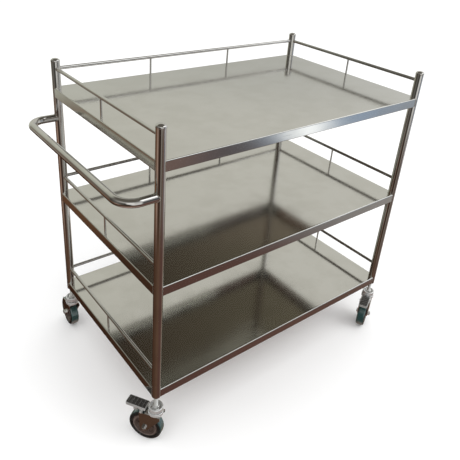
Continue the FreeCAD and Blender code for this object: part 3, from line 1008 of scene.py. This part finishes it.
def make_materials():
    steel = (0.63, 0.62, 0.60)
    steel_dull = (0.56, 0.545, 0.52)
    return {
        "tube": metal("polished_tube_steel", steel, steel_dull, (0.04, 0.08), 900, 0.0015 * MM,
                      22, 0.06 * MM),
        "tray": metal("satin_sheet_steel", (0.64, 0.635, 0.605), (0.60, 0.595, 0.56), (0.08, 0.105),
                      1300, 0.0005 * MM, 3, 0.05 * MM),
        "weld": metal("ground_weld_steel", (0.58, 0.56, 0.53), (0.40, 0.35, 0.29), (0.22, 0.36),
                      700, 0.01 * MM, 300, 0.1 * MM),
        "plated": metal("bright_zinc_plate", (0.84, 0.85, 0.85), (0.68, 0.69, 0.69), (0.07, 0.14),
                        1500, 0.002 * MM, 60, 0.04 * MM, turned=True, metallic=0.72),
        "fork": metal("zinc_fork_sheet", (0.62, 0.61, 0.60), (0.50, 0.49, 0.48), (0.08, 0.16),
                      1200, 0.002 * MM, 30, 0.05 * MM),
        "hardware": metal("dull_zinc_plate", (0.78, 0.78, 0.77), (0.56, 0.56, 0.54), (0.14, 0.28),
                          1800, 0.004 * MM, 120, 0.05 * MM, turned=True, metallic=0.7),
        "pedal": metal("worn_pedal_plate", (0.62, 0.62, 0.61), (0.42, 0.42, 0.41), (0.2, 0.34),
                       1200, 0.008 * MM, 80, 0.06 * MM, metallic=0.6),
        "grip": rubber("black_pedal_grip", (0.022, 0.021, 0.020), (0.048, 0.046, 0.043),
                       (0.16, 0.155, 0.145)),
        "rib": rubber("grey_pedal_rib", (0.075, 0.072, 0.068), (0.13, 0.126, 0.118),
                      (0.28, 0.27, 0.26)),
        "hub": hub_plastic("hub_plastic", (0.052, 0.033, 0.026), (0.074, 0.049, 0.04),
                           (0.15, 0.12, 0.11)),
        # Lighter brown than the hub: a painted highlight on the rim's bead
        "bead": hub_plastic("hub_bead_painted_highlight", (0.095, 0.069, 0.059), (0.13, 0.099, 0.086),
                            (0.24, 0.20, 0.18)),
        "wall": rubber("black_tyre_wall", (0.004, 0.005, 0.005), (0.008, 0.010, 0.010),
                       (0.04, 0.04, 0.038), specular_ior_level=0.4),
        "tread": rubber("green_black_tread", (0.004, 0.031, 0.030), (0.008, 0.050, 0.050),
                        (0.03, 0.08, 0.078), specular_ior_level=0.9, coat_weight=0.7,
                        coat_roughness=0.12),
    }


# Studio

# What the steel mirrors: colours round the compass, by azimuth from +X, at four elevations
FLOOR_TONES = ((-180, (0.10, 0.055, 0.035)), (-127, (0.15, 0.085, 0.055)),
               (-60, (0.12, 0.06, 0.05)), (-35, (0.15, 0.085, 0.07)), (0, (0.34, 0.27, 0.21)),
               (42, (0.19, 0.17, 0.125)), (66, (0.06, 0.04, 0.03)), (106, (0.04, 0.018, 0.01)),
               (150, (0.10, 0.05, 0.03)))
FAR_TONES = ((-180, (0.42, 0.29, 0.23)), (-163, (0.11, 0.065, 0.045)), (-139, (0.03, 0.017, 0.013)),
             (-124, (0.06, 0.045, 0.035)), (-107, (0.36, 0.31, 0.27)), (-92, (0.11, 0.09, 0.07)),
             (-57, (0.24, 0.16, 0.14)), (-50, (0.11, 0.10, 0.11)), (-5, (0.75, 0.70, 0.66)),
             (30, (0.38, 0.32, 0.27)), (48, (0.30, 0.25, 0.20)), (66, (0.07, 0.04, 0.03)),
             (104, (0.04, 0.018, 0.01)), (118, (0.22, 0.11, 0.06)), (150, (0.19, 0.11, 0.07)),
             (172, (0.52, 0.36, 0.29)))
LOW_TONES = ((-180, (0.19, 0.18, 0.165)), (-153, (0.09, 0.088, 0.077)),
             (-124, (0.045, 0.042, 0.036)), (-113, (0.85, 0.85, 0.84)), (-76, (0.85, 0.85, 0.84)),
             (-65, (0.10, 0.10, 0.10)), (-57, (0.11, 0.11, 0.12)), (-44, (0.62, 0.64, 0.68)),
             (-30, (0.36, 0.40, 0.46)), (-8, (1.1, 1.1, 1.1)), (45, (0.57, 0.57, 0.535)),
             (62, (0.57, 0.575, 0.53)), (76, (0.56, 0.57, 0.51)), (92, (0.70, 0.71, 0.62)),
             (112, (0.56, 0.58, 0.50)), (120, (0.24, 0.19, 0.15)), (142, (0.08, 0.075, 0.065)))
HIGH_TONES = ((-180, (0.42, 0.41, 0.38)), (-127, (0.62, 0.62, 0.60)), (-85, (0.60, 0.60, 0.59)),
              (-60, (0.72, 0.73, 0.74)), (0, (0.80, 0.80, 0.78)), (30, (0.74, 0.73, 0.68)),
              (60, (0.70, 0.69, 0.63)), (95, (0.68, 0.69, 0.60)), (122, (0.50, 0.52, 0.45)),
              (140, (0.20, 0.19, 0.17)), (158, (0.24, 0.23, 0.21)))
NADIR = (0.45, 0.33, 0.29)
CEILING = (0.15, 0.14, 0.12)

# Elevations where each tone begins to cover the floor's, and where it is full
NADIR_BAND = (-55, -75)
RING_BANDS = ((FAR_TONES, (-36, -29)), (LOW_TONES, (-23, -16)), (HIGH_TONES, (15, 21)))
CEILING_BAND = (40, 54)

# Round patches: azimuth, elevation, the radii where each starts to fade and ends, and colour
PATCHES = ((-40, -18, 2, 9, (0.38, 0.48, 0.64)), (-41.5, -20.5, 1, 3.6, (1.6, 1.64, 1.68)),
           (-46, 48, 8, 16, (2.0, 2.02, 2.05)), (-25, 36, 8, 16, (2.0, 2.02, 2.05)),
           (-122, 16, 12, 24, (1.1, 1.1, 1.08)))
PAPER_LIGHT = 1.2


def tone_ring(tree, turn, tones):
    """Colours set round the compass, by degrees from +X; the last blends back to the first."""
    ring = add_node(tree, "ValToRGB", {0: turn})
    stops = ring.color_ramp.elements
    for index, (azimuth, colour) in enumerate(tones + ((180, tones[0][1]),)):
        position = azimuth / 360 + 0.5
        stop = stops[index] if index < 2 else stops.new(position)
        stop.position = position
        stop.color = (*colour, 1)
    return ring.outputs[0]


def banded(tree, height, band):
    """How far a ray of this height has come through a band of elevations, from 0 to 1."""
    return blend_range(tree, height, sine(band[0]), sine(band[1]))


def add_patch(tree, ray, room, azimuth, elevation, full, faded, colour):
    """Lay a round soft patch over the room."""
    level = cosine(elevation)
    middle = Vector((level * cosine(azimuth), level * sine(azimuth), sine(elevation)))
    toward = add_node(tree, "VectorMath", {0: ray, 1: middle}, operation="DOT_PRODUCT")
    share = blend_range(tree, toward.outputs["Value"], cosine(faded), cosine(full))
    return mix_colour(tree, share, room, colour)


def make_world():
    """A white studio for the camera and soft light, and a quiet room for the steel to reflect."""
    world = bpy.data.worlds.new("studio")
    scene.world = world
    world.use_nodes = True
    world.cycles.sampling_method = "NONE"
    tree = world.node_tree
    ray = add_node(tree, "TexCoord").outputs["Generated"]
    parts = add_node(tree, "SeparateXYZ", {0: ray}).outputs
    height = parts[2]
    azimuth = combine(tree, "ARCTAN2", parts[1], parts[0])
    turn = combine(tree, "ADD", combine(tree, "DIVIDE", azimuth, math.tau), 0.5)
    room = tone_ring(tree, turn, FLOOR_TONES)
    room = mix_colour(tree, banded(tree, height, NADIR_BAND), room, NADIR)
    for tones, band in RING_BANDS:
        room = mix_colour(tree, banded(tree, height, band), room, tone_ring(tree, turn, tones))
    room = mix_colour(tree, banded(tree, height, CEILING_BAND), room, CEILING)
    for patch in PATCHES:
        room = add_patch(tree, ray, room, *patch)
    glossy = add_node(tree, "LightPath").outputs["Is Glossy Ray"]
    seen = mix_colour(tree, glossy, (PAPER_LIGHT,) * 3, room)
    tree.links.new(seen, tree.nodes["Background"].inputs["Color"])


def make_floor():
    builder = Builder()
    reach = 14.0
    thickness = 20 * MM
    builder.stack([rectangle((-reach, -reach), (reach, reach), 0, height)
                   for height in (-thickness, 0)])
    floor = builder.to_object("studio_floor", floor_paper())
    floor.visible_glossy = False


def make_softbox(name, location, size, power):
    """A square light aimed at the cart, that its steel doesn't mirror."""
    light = bpy.data.lights.new(name, "AREA")
    light.size = size
    light.energy = power
    softbox = bpy.data.objects.new(name, light)
    softbox.location = location
    aim = Vector((0, 0, 0.5)) - Vector(location)
    softbox.rotation_euler = aim.to_track_quat("-Z", "Y").to_euler()
    softbox.visible_glossy = False
    scene.collection.objects.link(softbox)


def make_camera():
    lens = bpy.data.cameras.new("camera")
    lens.lens = 42.385
    lens.sensor_width = 36.0
    lens.shift_x = 0.0209
    lens.shift_y = -0.1143
    camera = bpy.data.objects.new("camera", lens)
    camera.location = (-0.9918, -1.1858, 1.3814)
    camera.rotation_euler = Euler([math.radians(angle) for angle in (63.190, -3.843, -37.531)])
    scene.collection.objects.link(camera)
    scene.camera = camera


def make_cart(materials):
    tube, plated, hardware = materials["tube"], materials["plated"], materials["hardware"]
    for corner in CORNERS:
        make_post(corner, tube)
    make_caps(tube)
    make_inserts(hardware)
    for tier in TIERS:
        make_tray(tier, materials["tray"])
        make_stays(tier, tube)
        make_tier_welds(tier, materials["weld"])
        for side in RAIL_ENDS:
            make_rail(tier, side, tube)
    make_handle(tube)
    make_handle_welds(materials["weld"])
    for corner in CORNERS:
        place, trail = caster_place(corner)
        make_stem(corner, hardware)
        make_cup(corner, plated)
        make_fork(corner, place, trail, [materials["fork"], plated])
        make_axle(corner, place, trail, materials["fork"])
        make_hub(corner, place, trail, [materials["hub"], materials["bead"]])
        make_tyre(corner, place, trail, [materials["wall"], materials["tread"]])
        frame["nodes"][f"sleeve_{corner}"].data.materials[0] = hardware
        if corner in BRAKED:
            make_pedal(corner, place, [materials[name] for name in ("pedal", "grip", "rib")])
            make_pedal_pin(corner, place, hardware)
    frame["nodes"]["swivel_balls"].data.materials[0] = plated


make_camera()
make_world()
make_floor()
make_softbox("key_softbox", (1.6, -2.2, 2.6), 2.0, 30)
make_softbox("fill_softbox", (-2.4, -0.6, 2.2), 2.4, 12)
make_cart(make_materials())
scene.view_settings.view_transform = "Standard"
